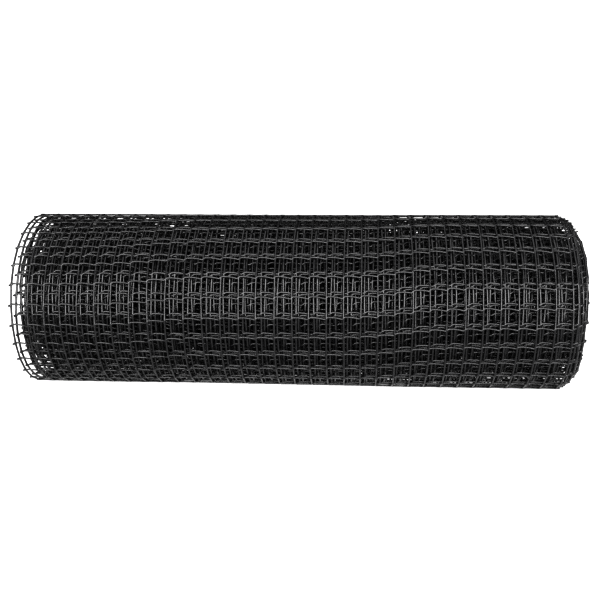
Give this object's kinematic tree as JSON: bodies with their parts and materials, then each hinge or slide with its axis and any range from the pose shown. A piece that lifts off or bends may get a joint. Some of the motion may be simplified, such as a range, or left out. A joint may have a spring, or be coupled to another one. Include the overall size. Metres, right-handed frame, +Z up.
{
  "type": "bird netting roll",
  "caption": "Roll of extruded black plastic square-cell bird netting, lying on its side, with an open lattice outer turn, spiral end faces and an open bore.",
  "frame": {"origin": "on the surface that the roll lies on, under the middle of the roll's box", "axes": "+X along the roll's axis, to the right as seen from the front; +Y to the back, where the loose end is; +Z up"},
  "size_m": [0.5186, 0.1678, 0.163],
  "materials": {
    "black_net": "satin extruded polyethylene, with softly shining strands and knots"
  },
  "bodies": {
    "root": {"net_roll": "black_net"}
  },
  "joints": []
}
